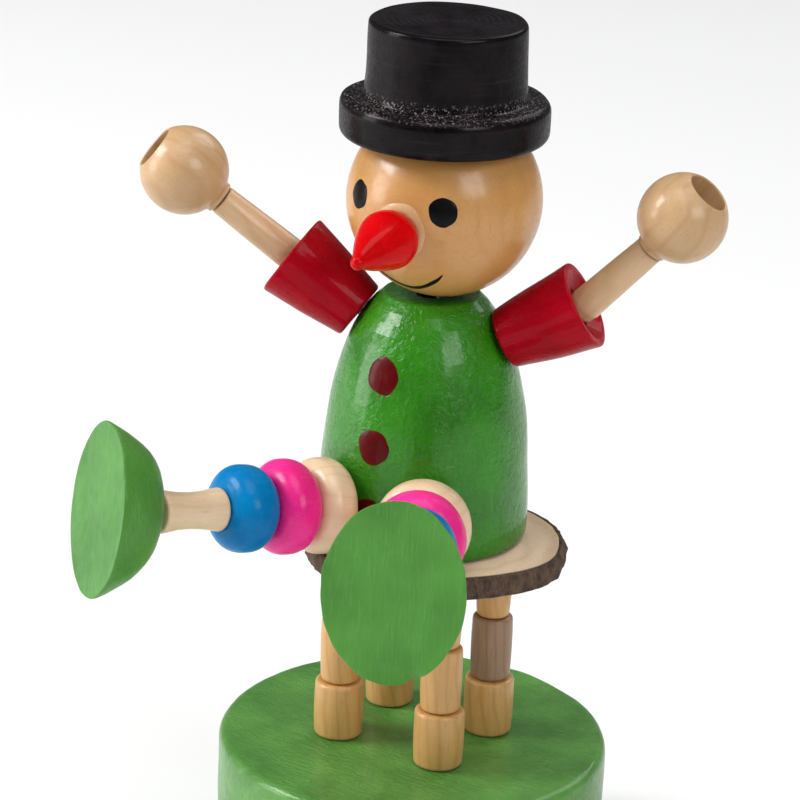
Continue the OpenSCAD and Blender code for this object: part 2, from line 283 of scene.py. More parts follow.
class Look:
    """A material's nodes, each made by one short call."""

    def __init__(self, name, roughness=0.4, coat=0.0, coat_roughness=0.1, specular=0.5, metallic=0.0):
        self.material = bpy.data.materials.new(name)
        self.material.use_nodes = True
        self.tree = self.material.node_tree
        self.shader = self.tree.nodes["Principled BSDF"]
        values = {"Roughness": roughness, "Coat Weight": coat, "Coat Roughness": coat_roughness,
                  "Specular IOR Level": specular, "Metallic": metallic}
        for key, value in values.items():
            self.shader.inputs[key].default_value = value

    def node(self, kind, inputs=(), out=0, **settings):
        made = self.tree.nodes.new("ShaderNode" + kind)
        for key, value in settings.items():
            setattr(made, key, value)
        for key, value in dict(inputs).items():
            if isinstance(value, bpy.types.NodeSocket):
                self.tree.links.new(value, made.inputs[key])
            else:
                made.inputs[key].default_value = value
        return made.outputs[out]

    def spots(self, scale=(1, 1, 1), attribute="grain"):
        """Each point's own place in mm, stretched."""
        place = self.node("Attribute", attribute_name=attribute, out="Vector")
        return self.node("Mapping", {"Vector": place, "Scale": scale})

    def noise(self, vector, scale=1.0, detail=2.0, rough=0.5, distortion=0.0):
        return self.node("TexNoise", {"Vector": vector, "Scale": scale, "Detail": detail, "Roughness": rough,
                                      "Distortion": distortion}, out="Fac")

    def range(self, value, low, high, to_low=0.0, to_high=1.0):
        return self.node("MapRange", {"Value": value, "From Min": low, "From Max": high,
                                      "To Min": to_low, "To Max": to_high})

    def math(self, operation, a, b=0.0):
        return self.node("Math", {0: a, 1: b}, operation=operation)

    def mix(self, factor, a, b):
        a = (*a, 1) if isinstance(a, tuple) and len(a) == 3 else a
        b = (*b, 1) if isinstance(b, tuple) and len(b) == 3 else b
        return self.node("Mix", {"Factor": factor, 6: a, 7: b}, data_type="RGBA", out=2)

    def bump(self, height, depth, strength=1.0, onto=None):
        inputs = {"Height": height, "Distance": depth * MM, "Strength": strength}
        if onto is not None:
            inputs["Normal"] = onto
        return self.node("Bump", inputs)

    def done(self, colour=None, normal=None, roughness=None):
        for key, value in (("Base Color", colour), ("Normal", normal), ("Roughness", roughness)):
            if value is not None:
                self.tree.links.new(value, self.shader.inputs[key])
        return self.material


def paint(name, deep, main, light, roughness=0.32, peel=0.05, brush=(2.2, 2.2, 0.3), strokes=0.03,
          coat=0.22, peel_scale=0.9, specular=0.25):
    """Brushed enamel: slow changes of tone, brush strokes and an orange-peel skin."""
    look = Look(name, roughness, coat, 0.1, specular=specular)
    own = look.spots()
    tone = look.range(look.noise(own, 0.16, 3), 0.3, 0.7)
    colour = look.mix(tone, deep, main)
    streak = look.noise(look.spots(brush), 1.0, 5, 0.62, 0.3)
    colour = look.mix(look.range(streak, 0.55, 0.85, 0, 0.55), colour, light)
    colour = look.mix(look.range(streak, 0.2, 0.45, 0.35, 0), colour, deep)
    skin = look.noise(own, peel_scale, 3, 0.5, 0.9)
    pits = look.noise(own, 5.0, 2)
    normal = look.bump(skin, peel, 0.8)
    normal = look.bump(streak, strokes, 0.8, normal)
    normal = look.bump(pits, 0.012, 0.5, normal)
    rough = look.range(look.noise(own, 0.7, 3), 0.3, 0.7, roughness - 0.07, roughness + 0.12)
    return look.done(colour, normal, rough)


def wood(name, pale, mid, dark, fibre=(2.6, 2.6, 0.16), ring=0.9, coat=0.35, roughness=0.45, ring_depth=0.35):
    """Turned timber under varnish: growth rings cut by the lathe, long fibres and short dark pores."""
    look = Look(name, roughness, coat, 0.16)
    warp = look.noise(look.spots((0.12, 0.12, 0.05)), 1.0, 2)
    lie = look.spots((1, 0.42, 0.09))
    slope = look.node("VectorMath", {0: lie, 1: (1, 1, 1)}, operation="DOT_PRODUCT", out="Value")
    phase = look.math("ADD", look.math("MULTIPLY", slope, ring), look.math("MULTIPLY", warp, 7.0))
    rings = look.math("PINGPONG", phase, 1.0)
    tone = look.mix(look.range(rings, 0.55, 1.0, 0, ring_depth * 2), pale, mid)
    fibres = look.noise(look.spots(fibre), 1.0, 6, 0.65)
    tone = look.mix(look.range(fibres, 0.5, 0.8, 0, 0.6), tone, mid)
    pores = look.noise(look.spots((7, 7, 0.55)), 1.0, 3, 0.55)
    tone = look.mix(look.range(pores, 0.62, 0.74, 0, 0.65), tone, dark)
    patch = look.noise(look.spots((0.2, 0.2, 0.12)), 1.0, 2)
    tone = look.mix(look.range(patch, 0.45, 0.75, 0, 0.4), tone, mid)
    normal = look.bump(fibres, 0.015, 0.6)
    normal = look.bump(look.range(pores, 0.6, 0.74), -0.02, 0.6, normal)
    rough = look.range(fibres, 0.3, 0.8, roughness - 0.08, roughness + 0.12)
    return look.done(tone, normal, rough)


def felt_black():
    """Black paint with a purple-brown cast over lathe rings, dusty where the crown meets the brim."""
    look = Look("black_satin", 0.34, 0.2, 0.17, specular=0.03)
    own = look.spots()
    tone = look.range(look.noise(own, 0.35, 4, 0.6), 0.35, 0.7)
    colour = look.mix(tone, (0.0009, 0.0006, 0.0009), (0.009, 0.0052, 0.0075))
    rings = look.noise(look.spots((0.15, 0.15, 3.0)), 1.0, 4)
    colour = look.mix(look.range(rings, 0.55, 0.8, 0, 0.45), colour, (0.030, 0.018, 0.024))
    specks = look.range(look.noise(own, 3.2, 3, 0.7), 0.56, 0.63)
    height = look.node("SeparateXYZ", {"Vector": look.spots(attribute="shape")}, out="Z")
    from_corner = look.math("ABSOLUTE", look.math("SUBTRACT", height, 5.3))
    near = look.math("SUBTRACT", 1.0, look.math("MULTIPLY", from_corner, 0.9))
    specks = look.math("MULTIPLY", specks, look.range(near, 0.0, 0.7))
    colour = look.mix(specks, colour, (0.34, 0.29, 0.28))
    skin = look.noise(own, 1.6, 4, 0.6, 0.4)
    normal = look.bump(skin, 0.13, 1.0)
    normal = look.bump(rings, 0.08, 0.9, normal)
    normal = look.bump(specks, 0.08, 1.0, normal)
    return look.done(colour, normal, look.range(skin, 0.3, 0.7, 0.3, 0.55))


def sawn_slice():
    """Cross-cut wood: growth rings round an off-centre pith, saw scratches and small dark flecks."""
    look = Look("sawn_slice", 0.6, 0.08, 0.3)
    place = look.spots(attribute="shape")
    pith = look.node("VectorMath", {0: place, 1: (1.6, -1.2, 0)}, operation="SUBTRACT")
    flat = look.node("Mapping", {"Vector": pith, "Scale": (1, 1.08, 0)})
    span = look.node("VectorMath", {0: flat}, operation="LENGTH", out="Value")
    warp = look.noise(look.spots((0.25, 0.25, 0.25)), 1.0, 3)
    phase = look.math("ADD", look.math("MULTIPLY", span, 0.55), look.math("MULTIPLY", warp, 1.6))
    rings = look.math("PINGPONG", phase, 1.0)
    colour = look.mix(look.range(rings, 0.5, 1.0, 0, 0.5), (0.80, 0.59, 0.42), (0.64, 0.445, 0.285))
    scratch = look.noise(look.spots((4.5, 0.25, 1.0)), 1.0, 5, 0.65)
    colour = look.mix(look.range(scratch, 0.55, 0.8, 0, 0.55), colour, (0.44, 0.30, 0.17))
    cells = look.noise(look.spots((6, 6, 0.8)), 1.0, 2)
    colour = look.mix(look.range(cells, 0.6, 0.75, 0, 0.5), colour, (0.36, 0.24, 0.14))
    colour = look.mix(look.range(span, 13.0, 16.2, 0, 0.5), colour, (0.50, 0.34, 0.18))
    normal = look.bump(scratch, 0.05, 0.8)
    normal = look.bump(cells, 0.03, 0.6, normal)
    return look.done(colour, normal, look.range(scratch, 0.3, 0.7, 0.5, 0.7))


def bark_brown():
    look = Look("rough_bark", 0.85, 0.0, 0.3)
    own = look.spots()
    lumps = look.noise(look.spots((1.1, 1.1, 0.5)), 1.0, 6, 0.7)
    colour = look.mix(look.range(lumps, 0.35, 0.65), (0.030, 0.016, 0.010), (0.13, 0.075, 0.045))
    flecks = look.noise(own, 4.0, 3, 0.6)
    colour = look.mix(look.range(flecks, 0.6, 0.75, 0, 0.6), colour, (0.30, 0.19, 0.12))
    normal = look.bump(lumps, 0.35, 1.0)
    normal = look.bump(flecks, 0.08, 0.8, normal)
    return look.done(colour, normal)


def steel_wire():
    look = Look("steel_wire", 0.28, metallic=1.0)
    streak = look.noise(look.spots((1.5, 1.5, 1.5)), 1.0, 4)
    colour = look.mix(streak, (0.42, 0.42, 0.43), (0.66, 0.66, 0.66))
    return look.done(colour, look.bump(streak, 0.01, 0.5), look.range(streak, 0.3, 0.7, 0.2, 0.42))


MATERIALS = {}


def setup_materials():
    m = MATERIALS
    m["torso"] = paint("green_enamel", (0.020, 0.155, 0.003), (0.031, 0.24, 0.006), (0.055, 0.33, 0.016),
                       roughness=0.27, peel=0.34, strokes=0.02, coat=0.35, peel_scale=1.0)
    m["base"] = paint("green_brushed", (0.06, 0.205, 0.032), (0.105, 0.31, 0.055), (0.19, 0.44, 0.11),
                      roughness=0.38, peel=0.14, brush=(0.5, 2.0, 1.2), strokes=0.34, coat=0.35)
    m["foot"] = paint("green_sole", (0.055, 0.22, 0.026), (0.086, 0.30, 0.042), (0.15, 0.39, 0.088),
                      roughness=0.45, peel=0.12, brush=(0.3, 2.8, 2.6), strokes=0.26, coat=0.15)
    m["pink"] = paint("pink_gloss", (0.76, 0.018, 0.21), (0.90, 0.032, 0.30), (0.94, 0.10, 0.40),
                      roughness=0.3, peel=0.03, coat=0.15, specular=0.15)
    m["blue"] = paint("blue_gloss", (0.001, 0.135, 0.38), (0.001, 0.215, 0.51), (0.012, 0.33, 0.66),
                      roughness=0.3, peel=0.03, coat=0.12, specular=0.06)
    m["nose"] = paint("red_gloss", (0.48, 0.0005, 0.002), (0.68, 0.001, 0.003), (0.82, 0.014, 0.014),
                      roughness=0.22, peel=0.03, coat=0.17, specular=0.04)
    m["sleeve"] = paint("dark_red_gloss", (0.29, 0.0003, 0.006), (0.45, 0.0005, 0.012), (0.57, 0.005, 0.024),
                        roughness=0.3, peel=0.12, brush=(2.2, 2.2, 0.2), strokes=0.10, coat=0.14,
                        specular=0.04)
    m["dot"] = paint("maroon_dot", (0.07, 0.0007, 0.001), (0.115, 0.0012, 0.002), (0.16, 0.008, 0.010),
                     roughness=0.35, peel=0.05, coat=0.1, specular=0.12)
    m["ink"] = paint("black_ink", (0.001, 0.001, 0.001), (0.003, 0.003, 0.003), (0.008, 0.008, 0.008),
                     roughness=0.35, peel=0.02, strokes=0.0, coat=0.08, specular=0.1)
    m["glue"] = paint("dry_glue", (0.5, 0.30, 0.13), (0.66, 0.42, 0.22), (0.8, 0.58, 0.36),
                      roughness=0.3, peel=0.04)
    m["head"] = wood("head_wood", (0.575, 0.285, 0.082), (0.46, 0.205, 0.052), (0.29, 0.115, 0.026),
                     fibre=(0.2, 2.4, 2.4), ring=0.3, coat=0.4, roughness=0.38, ring_depth=0.16)
    m["hand"] = wood("hand_wood", (0.56, 0.35, 0.175), (0.48, 0.275, 0.125), (0.30, 0.15, 0.062), ring=0.7)
    m["rod"] = wood("rod_wood", (0.67, 0.446, 0.25), (0.567, 0.344, 0.172), (0.353, 0.186, 0.084), ring=0.7)
    m["stool"] = wood("stool_wood", (0.62, 0.345, 0.115), (0.49, 0.25, 0.072), (0.28, 0.13, 0.035), ring=1.2)
    m["pale"] = wood("pale_wood", (0.76, 0.565, 0.365), (0.67, 0.47, 0.28), (0.43, 0.27, 0.14), ring=0.9)
    m["hat"] = felt_black()
    m["slice"] = sawn_slice()
    m["bark"] = bark_brown()
    m["string"] = paint("waxed_string", (0.55, 0.5, 0.4), (0.72, 0.68, 0.58), (0.85, 0.82, 0.74),
                        roughness=0.7, peel=0.02, brush=(3, 3, 3), coat=0.0)
    m["steel"] = steel_wire()
    m["grey"] = wood("grey_wood", (0.325, 0.197, 0.116), (0.232, 0.133, 0.079), (0.104, 0.058, 0.035),
                     ring=1.4, coat=0.15)


# ---------------------------------------------------------------- camera, light and floor


def setup_stage():
    camera_data = bpy.data.cameras.new("camera")
    camera = bpy.data.objects.new("camera", camera_data)
    bpy.context.scene.collection.objects.link(camera)
    azimuth, distance, side, height = math.radians(30.88), 0.4011, -0.0021, 0.2131
    aim, pitch, roll = math.radians(0.186), math.radians(19.975), math.radians(2.362)
    camera_data.lens = 153.8
    camera_data.sensor_width = 36
    camera.location = (distance * math.sin(azimuth) + side * math.cos(azimuth),
                       side * math.sin(azimuth) - distance * math.cos(azimuth), height)
    turn, tilt = Matrix.Rotation(azimuth + aim, 3, "Z"), Matrix.Rotation(math.pi / 2 - pitch, 3, "X")
    camera.rotation_euler = (turn @ tilt @ Matrix.Rotation(roll, 3, "Z")).to_euler()
    bpy.context.scene.camera = camera
    floor = bpy.data.objects.new("floor", bpy.data.meshes.new("floor"))
    half = 4.0
    around = [(-half, -half, 0), (half, -half, 0), (half, half, 0), (-half, half, 0)]
    floor.data.from_pydata(around, [], [(0, 1, 2, 3)])
    bpy.context.scene.collection.objects.link(floor)
    look = Look("pale_floor", 0.8, specular=0.2)
    look.shader.inputs["Base Color"].default_value = (0.86, 0.86, 0.86, 1)
    floor.data.materials.append(look.material)
    for name, place, size, power in (
            ("key", (-0.78, -0.47, 0.74), 0.45, 10.5), ("side", (-0.85, -0.60, 0.22), 0.4, 3.2),
            ("fill", (0.85, -0.35, 0.60), 0.5, 4.0),
            ("back", (0.1, 0.9, 0.9), 0.7, 4.5), ("top", (0.1, -0.2, 1.1), 0.7, 4.5)):
        data = bpy.data.lights.new(name, "AREA")
        data.size = size
        data.energy = power
        light = bpy.data.objects.new(name, data)
        light.location = place
        light.rotation_euler = (Vector((0, 0, 0.07)) - Vector(place)).to_track_quat("-Z", "Y").to_euler()
        bpy.context.scene.collection.objects.link(light)
    world = bpy.data.worlds.new("studio")
    world.use_nodes = True
    background = world.node_tree.nodes["Background"]
    background.inputs["Color"].default_value = (0.97, 0.98, 1.0, 1)
    background.inputs["Strength"].default_value = 0.14
    bpy.context.scene.world = world
    bpy.context.scene.view_settings.view_transform = "Standard"


# ---------------------------------------------------------------- pieces


def keep(obj, body, slot, look, *nodes):
    """Dresses a piece, hangs it on its body and hides the CAD nodes that it stands for."""
    obj.data.materials.clear()
    obj.data.materials.append(MATERIALS[look])
    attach(obj, body)
    if nodes:
        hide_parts(*nodes)
    return obj


def make_base():
    matrix, height, radius = place_of("base_drum")
    wall, clear = 4.0, 18.0
    points = outline(
        (radius - wall, 0.3, 0), (radius - wall + 0.3, 0, 0), (radius - 0.5, 0, 0), (radius, 0.5, 0.4),
        (radius, height, 1.3), (0, height, 0), step=0.8)
    inside = outline((0, clear, 0), (radius - wall, clear, 0.4), (radius - wall, 0.3, 0), step=1.6)

    def brushed(p):
        swell, stroke = noise.noise(p * 0.35), noise.noise(Vector((p.x * 0.3, p.y * 1.3, p.z)))
        return p + Vector((0, 0, 0.07 * swell + 0.03 * stroke))

    drum = lathe("drum", inside[:-1] + points, matrix, around=180, wobble=0.14, bend=brushed)
    spots = [middle_of(f"stool_lower_{c}") / MM for c in CORNERS]
    drill(drum, [p[:2] for p in spots], 0.95, clear - 1, height + 1)
    keep(drum, "base", "green_paint", "base", "base_drum")
    matrix, height, radius = place_of("push_button")
    points = outline((0, 0, 0), (radius, 0, 0.8), (radius, height, 0.5), (0, height, 0), step=1.2)
    button = lathe("turned_button", points, matrix, around=120, wobble=0.08, ripple=0.02, pitch=1.4)
    drill(button, [p[:2] for p in spots], 0.95, -1, height + 1)
    drill(button, [p[:2] for p in spots], 2.1, -1, 3.4)
    keep(button, "push_button", "natural_wood", "stool", "push_button")


def make_stool():
    for part, waist in (("lower", 0.12), ("middle", 0.1), ("upper", 0.1)):
        for corner in CORNERS:
            node = f"stool_{part}_{corner}"
            matrix, length, radius = place_of(node)
            foot = radius - (0.4 if part == "upper" else 0.1)
            bead = lathe(f"{node}_turned", bead_outline(length, foot, radius - 0.05, 0.55, waist), matrix,
                         around=72, wobble=0.06, ripple=0.006, pitch=0.9)
            grey = node == "stool_middle_rear_left"
            keep(bead, node, "grey_wood" if grey else "natural_wood", "grey" if grey else "stool", node)


def seat_edge(angle):
    """The branch's outline in mm from its middle, as the CAD seat has it."""
    a = math.radians(angle)
    third, second, seventh = math.radians(30), math.radians(20), math.radians(10)
    return (16.1 + 0.3 * math.cos(2 * a - second) + 0.6 * math.cos(3 * a - third)
            + 0.12 * math.cos(7 * a + seventh))


def bell_radius(radius, h):
    """The body's radius at a height: nearly straight below, closing in a dome."""
    fade, power = 33.0, 2.58
    return radius * (1 - (h / fade) ** power) ** (1 / power)


def make_torso():
    matrix, height, radius = place_of("torso")
    side = [(bell_radius(radius, h), h, 0.6) for h in np.linspace(3, height - 0.2, 24)]
    cup = [(5.2, height - 0.25, 0.3), (2.0, height - 0.5, 0)]
    inside = [(2.0, 27.5, 0), (4.0, 26.0, 0), (4.0, 11.0, 0), (10.9, 8.0, 0), (10.9, 0.0, 0)]
    points = outline(*inside, (radius, 0, 1.0), *side, *cup, step=0.5)
    body = lathe("bell_body", points, matrix, around=160, wobble=0.14)
    keep(body, "torso", "green_paint", "torso", "torso")


def make_head():
    centre = middle_of("head")
    angles = np.linspace(-math.pi / 2, math.pi / 2, 90)
    points = [Vector((HEAD_R * math.cos(a), HEAD_R * math.sin(a))) for a in angles]
    points[0][0] = points[-1][0] = 0
    head = lathe("turned_head", points, Matrix.Translation(centre), around=144, wobble=0.06)
    keep(head, "head", "pale_wood", "head", "head")


def round_bead(length, radius, corner, hole=BORE_R):
    """A bead as round as a bun, with small flat ends."""
    low = [(radius - corner * (1 - math.cos(a)), corner * (1 + math.sin(a)), 0)
           for a in np.linspace(-math.pi / 2, 0, 12)]
    high = [(x, length - z, 0) for x, z, _ in reversed(low)]
    return outline((hole, 0.25, 0), (hole + 0.25, 0, 0), *low, *high,
                   (hole + 0.25, length, 0), (hole, length - 0.25, 0), step=0.45)


# part, slot, look and the radius of its rounded edges
LEG_BEADS = (
    ("hip_bead", "pale_wood", "pale", 2.05),
    ("knee_bead", "pink_paint", "pink", 2.6),
    ("calf_bead", "blue_paint", "blue", 2.8),
)


def make_limbs():
    for s in SIDES:
        matrix, length, radius = place_of(f"sleeve_{s}", *ARM_WAY[s][0])
        slim = 0.68 * radius
        points = outline(
            (BORE_R, 0.1, 0), (1.2, 0, 0), (slim, 0, 0.5), ((slim + radius) / 2 + 0.08, length / 2, 3),
            (radius, length, 0.7), (4.6, length - 0.05, 0.3), (2.7, length - 1.15, 0.4),
            (2.3, length - 2.35, 0), (BORE_R, length - 2.35, 0), step=0.5)
        cone = lathe(f"sleeve_{s}_cone", points, matrix, around=110, wobble=0.13)
        keep(cone, f"sleeve_{s}", "dark_red_paint", "sleeve", f"sleeve_{s}")

        matrix, length, radius = place_of(f"forearm_{s}", *ARM_WAY[s][1])
        points = outline(
            (BORE_R, 0.35, 0), (1.2, 0.15, 0), (1.9, 0.9, 0.8), (2.1, 2.1, 0.6), (1.98, length * 0.6, 2),
            (1.85, length, 0.3), (BORE_R, length, 0), step=0.4)
        rod = lathe(f"forearm_{s}_rod", points, matrix, around=56, wobble=0.05, ripple=0.006, pitch=1.3)
        keep(rod, f"forearm_{s}", "pale_wood", "rod", f"forearm_{s}")

        matrix, length, radius = place_of(f"hand_{s}", *ARM_WAY[s][2])
        reach, ball, hole, neck = 5.7, 5.5, 2.7, 2.05
        start = math.asin((neck + 0.25) / ball) - math.pi / 2
        end = math.acos((hole + 0.18) / ball)
        arc = [(ball * math.cos(a), reach + ball * math.sin(a), 0) for a in np.linspace(start, end, 40)]
        points = outline(
            (BORE_R, 0.0, 0), (neck, 0, 0.2), (neck, 0.45, 0.3), *arc, (hole, reach + 4.6, 0.1),
            (hole, reach + 0.1, 0.2), (BORE_R, reach, 0), step=0.45)
        drilled_ball = lathe(f"hand_{s}_ball", points, matrix, around=110, wobble=0.07)
        keep(drilled_ball, f"hand_{s}", "pale_wood", "hand", f"hand_{s}")

        way = (LEG_RISE[s], LEG_TURN[s])
        for part, slot, kind, corner in LEG_BEADS:
            matrix, length, radius = place_of(f"{part}_{s}", *way)
            points = round_bead(length, radius - 0.1, corner)
            bead = lathe(f"{part}_{s}_turned", points, matrix, around=110, wobble=0.1)
            keep(bead, f"{part}_{s}", slot, kind, f"{part}_{s}")
        matrix, length, radius = place_of(f"shin_{s}", *way)
        points = bead_outline(length, radius, radius - 0.05, 0.5, -0.5)
        spool = lathe(f"shin_{s}_spool", points, matrix, around=64, wobble=0.05)
        keep(spool, f"shin_{s}", "pale_wood", "pale", f"shin_{s}")


def make_seat():
    """A slice of a branch: a sawn face with an off-centre pith, and rough bark round it."""
    low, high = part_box("seat")
    base_z, height = low.z / MM, (high.z - low.z) / MM
    matrix = Matrix.Translation((SEAT_SHIFT[0] * MM, SEAT_SHIFT[1] * MM, base_z * MM))
    around = 180
    bark = 0.8

    def rim(k, inset, z, rough):
        a = 2 * math.pi * k / around
        spot = Vector((math.cos(a) * 9, math.sin(a) * 9, z * 0.8))
        r = seat_edge(math.degrees(a)) - inset + rough * (noise.noise(spot) + 0.7 * noise.noise(spot * 2.6))
        return Vector((r * math.cos(a), r * math.sin(a), z))

    bm = bmesh.new()
    levels = [(0.0, 0.0), (0.1, height * 0.5), (0.0, height)]
    rows = [[(t, 0.0) for t in np.linspace(0.04, 0.98, 18)], [(1.0, z) for _, z in levels],
            [(t, height) for t in np.linspace(0.98, 0.04, 34)]]
    rings = []
    for t, z in [row for part in rows for row in part]:
        ring = []
        for k in range(around):
            p = rim(k, bark, z, 0.12)
            p = Vector((p.x * t, p.y * t, z))
            saw = 0.03 * math.sin(1.9 * p.x + 0.7 * p.y + 1.5 * noise.noise(p * 0.12))
            p.z += (saw + 0.05 * noise.noise(p * 0.3)) * (1 if t < 0.99 and z > 0 else 0.2)
            ring.append(bm.verts.new(p))
        rings.append(ring)
    for a, b in zip(rings, rings[1:]):
        for k in range(around):
            n = (k + 1) % around
            bm.faces.new((a[k], a[n], b[n], b[k]))
    bm.faces.new(rings[0])
    bm.faces.new(rings[-1])
    seat = finish_mesh("sawn_slice", bm, matrix, sharp=50)
    keep(seat, "seat", "branch_wood", "slice", "seat")

    bm = bmesh.new()
    profile = [(bark - 0.12, 0.0), (0.35, -0.02), (0.1, 0.25), (0.0, height * 0.3), (0.02, height * 0.5),
               (0.0, height * 0.7), (0.12, height - 0.2), (0.4, height + 0.02), (bark - 0.1, height - 0.04)]
    rings = []
    for inset, z in profile:
        outer = 0.42 if 0.05 < z < height - 0.1 else 0.16
        rough = outer * (1 if inset < 0.6 else 0.3)
        rings.append([bm.verts.new(rim(k, inset, z, rough)) for k in range(around)])
    for a, b in zip(rings, rings[1:] + rings[:1]):
        for k in range(around):
            n = (k + 1) % around
            bm.faces.new((a[k], a[n], b[n], b[k]))
    rough_bark = finish_mesh("rough_bark", bm, matrix, sharp=60)
    keep(rough_bark, "seat", "bark", "bark", "seat_bark")


def on_head(azimuth, elevation, middle):
    """Maps mm on the head's surface, right and up from a point of it, to the head's own frame."""
    a, e = math.radians(azimuth), math.radians(elevation)
    out = Vector((math.cos(e) * math.cos(a), math.cos(e) * math.sin(a), math.sin(e)))
    right = Vector((-math.sin(a), math.cos(a), 0))
    up = out.cross(right)

    def surface(u, v, lift):
        way = (out * HEAD_R + right * u + up * v).normalized()
        return middle + way * (HEAD_R + lift)
    return surface


def make_face():
    middle = middle_of("head") / MM
    for side, azimuth in (("left", -60.3), ("right", -119.7)):
        eye = patch(f"eye_{side}", on_head(azimuth, 8.3, middle), (1.82, 1.92), rough=0.08)
        keep(eye, "head", "black_paint", "ink")
    bm = bmesh.new()
    steps, across = 60, 6
    rows = []
    for i in range(steps + 1):
        t = 2 * i / steps - 1
        width = 0.42 * (1 - abs(t) ** 3) ** 0.5 * (1 + 0.25 * noise.noise(Vector((t * 3, 2, 5)))) + 0.02
        hook = max(0.0, abs(t) - 0.9) * 16
        surface = on_head(-90 + 31.6 * t, -52.5 + 17.5 * t * t + hook, middle)
        slope = math.atan(0.75 * t)
        row = []
        for j in range(across + 1):
            w = 2 * j / across - 1
            lift = 0.05 * (1 - w ** 4) - 0.02 * w ** 4
            row.append(bm.verts.new(surface(-math.sin(slope) * w * width, math.cos(slope) * w * width, lift)))
        rows.append(row)
    for a, b in zip(rows, rows[1:]):
        for j in range(across):
            bm.faces.new((a[j], b[j], b[j + 1], a[j + 1]))
    keep(finish_mesh("smile", bm, Matrix.Identity(4), sharp=70), "head", "black_paint", "ink")


def make_nose():
    matrix, length, radius = place_of("nose", NOSE_RISE, NOSE_TURN)
    foot = HEAD_R - 5 + 0.1
    root = HEAD_R - 0.12 - foot
    belly, tip, blunt = root + 2.72, length - 0.95, 0.95
    arcs = [(radius * math.cos(a), belly + radius * math.sin(a), 0) for a in np.linspace(-0.84, 0, 12)]
    arcs += [(radius - (radius - 0.88 * blunt) * t ** 1.35, belly + (tip - belly) * t, 0)
             for t in np.linspace(0.06, 0.96, 16)]
    arcs += [(blunt * math.cos(a), tip + blunt * math.sin(a), 0)
             for a in np.linspace(0.49, math.pi / 2 - 0.05, 9)]
    points = outline((0, 0, 0), (1.9, 0, 0.2), (1.9, root - 0.2, 0), *arcs, (0, length, 0), step=0.4)
    nose = lathe("painted_nose", points, matrix, around=80, wobble=0.16)
    keep(nose, "head", "red_paint", "nose", "nose")
    bm = bmesh.new()
    around, across = 90, 8
    rings = []
    for j in range(across + 1):
        t = j / across
        ring = []
        for k in range(around):
            a = 2 * math.pi * k / around
            spread = 0.55 + 0.3 * noise.noise(Vector((math.cos(a) * 1.4, math.sin(a) * 1.4, 7)))
            r = 2.3 + (0.75 + spread) * t
            swell = 0.32 * math.sin(math.pi * t) ** 0.8 * (1 - 0.5 * t) - 0.03
            z = math.sqrt(HEAD_R ** 2 - r ** 2) - foot + swell
            ring.append(bm.verts.new((r * math.cos(a), r * math.sin(a), z)))
        rings.append(ring)
    for a, b in zip(rings, rings[1:]):
        for k in range(around):
            n = (k + 1) % around
            bm.faces.new((a[k], a[n], b[n], b[k]))
    keep(finish_mesh("glue_ring", bm, matrix, sharp=70), "head", "pale_wood", "glue")


def make_dots():
    """Three painted dots down the body's front."""
    _, _, radius = place_of("torso")
    middle = middle_of("torso") / MM
    floor_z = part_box("torso")[0].z / MM

    for name, level, half in zip(("top", "middle", "bottom"), DOT_LEVELS, (2.7, 2.35, 2.2)):
        def surface(u, v, lift, level=level):
            h = level + v
            r = bell_radius(radius, h) + lift
            a = math.radians(-90) + u / radius
            return Vector((middle.x + r * math.cos(a), middle.y + r * math.sin(a), floor_z + h))
        dot = patch(f"dot_{name}", surface, (half, 2.3), rough=0.12, thickness=0.1)
        keep(dot, "torso", "dark_red_paint", "dot")


def make_feet():
    """A half egg: a small back that swells to an oval sole, with a knocked edge."""
    around = 120
    body = [(0.0, 0.12), (0.055, 0.27), (0.075, 0.42)]
    body += [(u, u ** 0.28) for u in (0.09, 0.13, 0.2, 0.3, 0.4, 0.52, 0.65, 0.78, 0.88, 0.94)]
    body += [(0.975, 0.988), (0.994, 0.982)]
    sole = [(1.0, 1.0, t) for t in np.linspace(0.962, 0.02, 26)]
    for s in SIDES:
        matrix, depth, tall = place_of(f"foot_{s}", LEG_RISE[s], FOOT_TURN[s])
        tall, wide = tall - 0.1, 8.4
        seed = seed_of(f"foot {s}")
        bm = bmesh.new()
        rings = []
        for u, w, t in [(u, w, 1.0) for u, w in body] + sole:
            ring = []
            for k in range(around):
                a = 2 * math.pi * k / around
                rim = Vector((math.cos(a) * 2.2, math.sin(a) * 2.2, seed))
                if s == "left":
                    chip = math.exp(-((a - 0.35) / 0.11) ** 2)
                else:
                    chip = 0.25 * max(0.0, noise.noise(rim * 1.9) - 0.4)
                nick = chip * max(0.0, (u - 0.85) / 0.15) * max(0.0, (t - 0.8) / 0.2)
                spread = w * t * (1 + 0.012 * noise.noise(rim) - 0.05 * nick)
                p = Vector((tall * math.cos(a), wide * math.sin(a), 0)) * spread
                p.z = u * depth - 0.35 * nick
                if t < 0.97:
                    p.z += (0.16 * noise.noise(p * 0.2 + Vector((0, 0, seed))) - 0.1) * min(1, 8 * (1 - t))
                    p.z += 0.03 * noise.noise(Vector((p.x * 0.25, p.y * 2.2, seed)))
                else:
                    outward = Vector((math.cos(a), math.sin(a), 0))
                    p += outward * 0.1 * noise.noise(p * 0.5 + Vector((seed, 0, 0)))
                ring.append(bm.verts.new(p))
            rings.append(ring)
        for a, b in zip(rings, rings[1:]):
            for k in range(around):
                n = (k + 1) % around
                bm.faces.new((a[k], a[n], b[n], b[k]))
        bm.faces.new(rings[0])
        bm.faces.new(rings[-1])
        foot = finish_mesh(f"foot_{s}_carved", bm, matrix, sharp=50)
        keep(foot, f"foot_{s}", "green_paint", "foot", f"foot_{s}")


